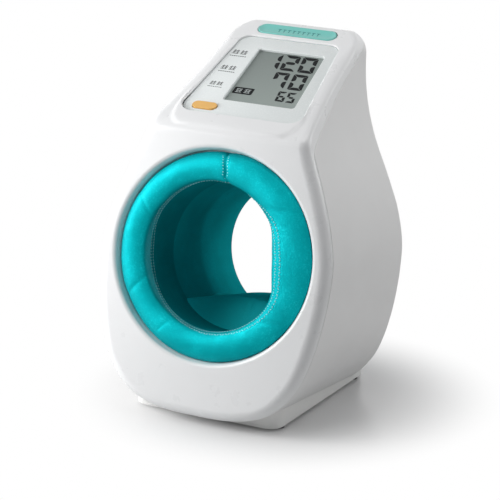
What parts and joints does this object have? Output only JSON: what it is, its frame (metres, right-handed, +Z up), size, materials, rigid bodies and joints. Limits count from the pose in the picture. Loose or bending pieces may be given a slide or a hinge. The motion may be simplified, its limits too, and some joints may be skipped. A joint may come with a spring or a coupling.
{
  "type": "arm-in blood pressure monitor",
  "caption": "Home blood pressure monitor with a padded arm tunnel through a leaning egg-shaped housing, a sloping display and push buttons.",
  "frame": {"origin": "on the table below the middle of the footprint", "axes": "+X to the right of someone facing the display, +Y to the rear, +Z up; the display and the padded ring face -Y"},
  "size_m": [0.2126, 0.2177, 0.3205],
  "materials": {
    "white_shell": "white moulded plastic, satin gloss",
    "grey_shell": "pale grey-white moulded plastic, satin",
    "foot_shell": "pale grey-white moulded plastic, fine grain",
    "rubber": "black rubber",
    "cell_jacket": "plain printed cell jacket",
    "inner_plastic": "unpolished moulded plastic",
    "spring_metal": "nickel-plated spring steel",
    "panel_grey": "light grey plate with a fine matte grain",
    "lcd_face": "grey-green reflective display with black segments",
    "button_mint": "mint plastic, satin gloss",
    "button_orange": "orange plastic, satin gloss",
    "circuit_board": "green solder mask",
    "black_plastic": "black moulded plastic",
    "bladder_rubber": "welded grey film",
    "teal_fabric": "teal satin knit",
    "motor_metal": "plated steel can",
    "hose_rubber": "grey silicone hose",
    "screw_steel": "zinc-plated steel"
  },
  "bodies": {
    "housing": {"front_cover": "white_shell", "rear_cover": "grey_shell", "foot": "foot_shell", "bottom_plate": "foot_shell", "rubber_feet": "rubber", "battery_cells": "cell_jacket", "battery_tray": "inner_plastic", "battery_contacts": "spring_metal", "display_panel": "panel_grey", "lcd_glass": "lcd_face", "lcd_holder": "inner_plastic", "display_board": "circuit_board", "push_switches": "black_plastic", "main_board": "circuit_board", "buzzer": "black_plastic", "pressure_sensor": "black_plastic", "tunnel_drum": "inner_plastic", "ring_frame": "inner_plastic", "rear_ring": "grey_shell", "air_bladder": "bladder_rubber", "ring_pad": "teal_fabric", "tunnel_lining": "teal_fabric", "arm_rest": "teal_fabric", "air_pump": "motor_metal", "pump_bracket": "black_plastic", "exhaust_valve": "motor_metal", "air_hoses": "hose_rubber", "adapter_socket": "black_plastic", "cover_screws": "screw_steel", "bottom_screws": "screw_steel"},
    "start_button": {"start_button": "button_mint"},
    "memory_button": {"memory_button": "button_orange"},
    "battery_door": {"battery_door": "foot_shell"}
  },
  "joints": [
    {"name": "start_press", "type": "slide", "parent": "housing", "child": "start_button", "axis": [0, 0.4431, -0.8965], "range_m": [0, 0.0012], "stiffness_N_per_m": 1200, "springref_m": -0.0003},
    {"name": "memory_press", "type": "slide", "parent": "housing", "child": "memory_button", "axis": [0, 0.4431, -0.8965], "range_m": [0, 0.0008], "stiffness_N_per_m": 1000, "springref_m": -0.0003},
    {"name": "door_slide", "type": "slide", "parent": "housing", "child": "battery_door", "axis": [0, 1, 0], "range_m": [0, 0.012]}
  ]
}
